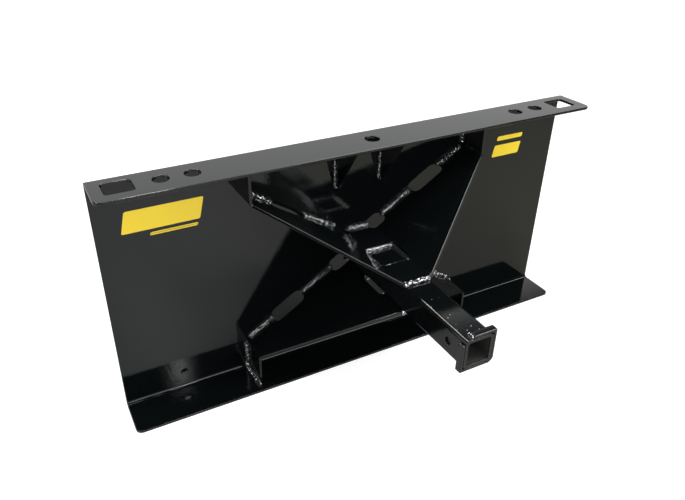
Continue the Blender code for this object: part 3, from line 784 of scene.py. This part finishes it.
def enamel_on_weld():
    """The same enamel run over weld metal: it pools black between the ripples and is so thin on their
    crests that bright metal shows."""
    material, tree, place = blank_material("gloss_black_enamel_on_weld")
    grain = noise(tree, place, WELD_GRAIN, 1.0)
    skin = add_node(tree, "ShaderNodeBump", {"Height": grain}, strength=1.0, distance=0.004)
    crest = faded(tree, grain, 0.5, 0.54, 0, 1)
    give_surface(tree, {"Base Color": mixed(tree, crest, POOLED_BLACK, BRIGHT_METAL_AND_GLINT), "Metallic": crest,
                        "Normal": skin.outputs["Normal"]}, roughness=0.22)
    return material


def yellow_vinyl():
    """Calendered sign vinyl, glossy, laid on the enamel."""
    material, tree, place = blank_material("yellow_vinyl_calendered")
    skin = add_node(tree, "ShaderNodeBump", {"Height": noise(tree, place, VINYL_WAVER, 2.0)},
                    strength=0.2, distance=0.0002)
    give_surface(tree, {"Normal": skin.outputs["Normal"]}, base_color=linear_colour(VINYL_YELLOW),
                 roughness=0.3)
    return material


def from_spot(tree, place, spot, stretch):
    """Distance on the floor from a spot, counted faster or slower along X and Y."""
    offset = add_node(tree, "ShaderNodeVectorMath", {0: place, 1: (*spot, 0)}, operation='SUBTRACT')
    scaled = add_node(tree, "ShaderNodeVectorMath", {0: offset.outputs["Vector"], 1: (*stretch, 0)},
                      operation='MULTIPLY')
    length = add_node(tree, "ShaderNodeVectorMath", {0: scaled.outputs["Vector"]}, operation='LENGTH')
    return length.outputs["Value"]


def stage_floor():
    """Pale floor that fades into the white background and keeps the hitch's shadow, which a painted
    shadow makes deepest behind the plate. The paper is also painted darker far in front and lighter
    at the left than at the right, and a faint painted glow, seen only in reflections, lies in front of
    the plate's left end."""
    deselect()
    bpy.ops.mesh.primitive_plane_add(size=FLOOR_SIZE)
    floor = bpy.context.object
    floor.name = "pale_floor"
    material, tree, place = blank_material("pale_studio_floor")
    axes = apart(tree, place)
    rays = add_node(tree, "ShaderNodeLightPath").outputs

    # Painted shadow: right behind the plate the paper is painted near black and the camera's white     lift is taken away, fading out beside the plate and further behind it
    beside = faded(tree, from_middle(tree, axes["X"], 0), 0.49, 0.55, 0, 1)
    in_front = faded(tree, axes["Y"], FRONT, FRONT + 0.01, 1, 0)
    behind = faded(tree, axes["Y"], FRONT + 0.09, FRONT + 0.3, 0, 1)
    outside_painted_shadow = maths(tree, 'MAXIMUM', maths(tree, 'MAXIMUM', beside, in_front), behind)

    distance = add_node(tree, "ShaderNodeVectorMath", {0: place}, operation='LENGTH').outputs["Value"]
    glow = times(tree, outside_painted_shadow, faded(tree, distance, 0.85, 1.8, 0.8, 1.0))
    # Painted glow: a faint emission in front of the plate's left end that only reflections see
    painted_glow = faded(tree, from_spot(tree, place, PAINTED_GLOW_SPOT, PAINTED_GLOW_STRETCH), 0, 1, 0.2, 0)
    camera_white_and_painted_glow = maths(tree, 'ADD', times(tree, glow, rays["Is Camera Ray"]),
                  times(tree, painted_glow, rays["Is Glossy Ray"]))

    # Painted light: the paper is painted lighter at the left and dimmer, warmer at the right, which the     plate reflects
    painted_side_light = mixed(tree, faded(tree, axes["X"], -0.3, 0.65, 0, 1), FLOOR_PAINTED_LIGHTER_LEFT, FLOOR_PAINTED_DIMMER_RIGHT)
    # Painted shade: the paper is painted darker far in front of the plate, and near black in the painted     shadow behind it
    share_outside_painted_shade = times(tree, outside_painted_shadow, faded(tree, axes["Y"], -1.8, -1.1, 0.4, 1))
    shaded = mixed(tree, share_outside_painted_shade, FLOOR_SHADE, painted_side_light)
    paper = add_node(tree, "ShaderNodeBsdfDiffuse", {"Color": shaded})
    emission_white_and_painted_glow = add_node(tree, "ShaderNodeEmission", {"Strength": camera_white_and_painted_glow}, color=WHITE)
    both = add_node(tree, "ShaderNodeAddShader", {0: paper.outputs[0], 1: emission_white_and_painted_glow.outputs[0]})
    add_node(tree, "ShaderNodeOutputMaterial", {"Surface": both.outputs[0]})
    floor.data.materials.append(material)


def studio_surroundings():
    """White to the camera. The paint sees a white backdrop behind the hitch, as high as it is far
    away, a long ceiling light along the plate, and a dark studio otherwise."""
    world = bpy.data.worlds.new("dark_studio_white_backdrop")
    world.use_nodes = True
    tree = world.node_tree
    tree.nodes.clear()
    axes = apart(tree, add_node(tree, "ShaderNodeTexCoord").outputs["Generated"])
    rays = add_node(tree, "ShaderNodeLightPath").outputs

    rise = maths(tree, 'DIVIDE', axes["Z"], axes["Y"])
    backdrop = times(tree, faded(tree, axes["Y"], 0.02, 0.08, 0, 1),
                     faded(tree, rise, 0.93, 1.0, 1, 0.18))
    tilt = maths(tree, 'DIVIDE', axes["Y"], axes["Z"])
    ceiling = times(tree, faded(tree, from_middle(tree, tilt, 0), 0.08, 0.12, 9, 0),
                    faded(tree, axes["Z"], 0.4, 0.5, 0, 1))
    seen = add_node(tree, "ShaderNodeBackground", {"Strength": maths(tree, 'ADD', backdrop, ceiling)},
                    color=WHITE)
    room = add_node(tree, "ShaderNodeBackground", color=WHITE, strength=0.7)
    paper = add_node(tree, "ShaderNodeBackground", color=WHITE, strength=1.0)
    mirrored = maths(tree, 'MAXIMUM', rays["Is Glossy Ray"], rays["Is Transmission Ray"])
    lit = add_node(tree, "ShaderNodeMixShader", {0: mirrored, 1: room.outputs[0], 2: seen.outputs[0]})
    shown = add_node(tree, "ShaderNodeMixShader", {0: rays["Is Camera Ray"], 1: lit.outputs[0],
                                                   2: paper.outputs[0]})
    add_node(tree, "ShaderNodeOutputWorld", {"Surface": shown.outputs[0]})
    bpy.context.scene.world = world


def soft_box(name, place, target, size, power):
    """Rectangular lamp that points at a target."""
    deselect()
    bpy.ops.object.light_add(type='AREA', location=place)
    lamp = bpy.context.object
    lamp.name = name
    lamp.data.shape = 'RECTANGLE'
    lamp.data.size = size[0]
    lamp.data.size_y = size[1]
    lamp.data.energy = power
    lamp.rotation_euler = (Vector(target) - Vector(place)).to_track_quat('-Z', 'Y').to_euler()


def set_lights():
    soft_box("key_soft_box", (1.03, -0.52, 2.3), (0, 0, 0.19), (0.85, 1.22), 40)
    soft_box("front_fill", (0.5, -2.3, 0.95), (0, 0, 0.25), (2.2, 0.7), 26)
    soft_box("front_lamp", (-0.08, -1.605, 1.5), (-0.375, 0.094, 0.094), (0.06, 0.2), 1.6)
    soft_box("rear_lamp", (-0.15, 1.31, 2.13), (0, -0.094, 0.28), (0.23, 0.84), 17)
    soft_box("left_lamp", (-1.69, 0.28, 1.78), (0, 0.094, 0.28), (0.23, 0.23), 10.5)


def set_camera():
    deselect()
    bpy.ops.object.camera_add(location=CAMERA_PLACE, rotation=CAMERA_TURN)
    camera = bpy.context.object
    camera.name = "photo_camera"
    camera.data.lens = CAMERA_LENS
    camera.data.shift_x, camera.data.shift_y = CAMERA_SHIFT
    bpy.context.scene.camera = camera


def main():
    deselect()
    enamel = sprayed_enamel()
    weld_enamel = enamel_on_weld()
    dress(fold_mounting_plate(), "mounting_plate", enamel)
    upper = fold_brace()
    lower = copy_placed(upper, "lower_folded_brace", half_turn())
    dress(upper, "upper_brace", enamel)
    dress(lower, "lower_brace", enamel)
    dress(draw_receiver_tube(), "receiver_tube", enamel_on_receiver())
    top_angle = saw_collar_angle("collar_top_angle", "collar_upper_angle", 1)
    bottom_angle = saw_collar_angle("collar_bottom_angle", "collar_lower_angle", -1)
    dress(top_angle, "collar_upper_angle", enamel)
    dress(bottom_angle, "collar_lower_angle", enamel)
    dress(grind_corner_weld(), "collar_corner_weld", enamel)
    right_rib = cut_rib()
    across = Matrix.Translation((-RIB_LOW.x - RIB_HIGH.x, 0, 0))
    left_rib = copy_placed(right_rib, "left_rib", across)
    dress(right_rib, "flange_rib_right", enamel)
    dress(left_rib, "flange_rib_left", enamel)
    vinyl = yellow_vinyl()
    for name, corners, slant in DECALS:
        decal = set_decal(name, [Vector(corner) for corner in corners], slant)
        dress(decal, None, vinyl)
    for name, (seam, leg) in weld_seams().items():
        dress(lay_bead(name, seam, leg), name, weld_enamel)
    stage_floor()
    studio_surroundings()
    set_lights()
    set_camera()
    bpy.context.scene.view_settings.view_transform = 'Standard'


main()
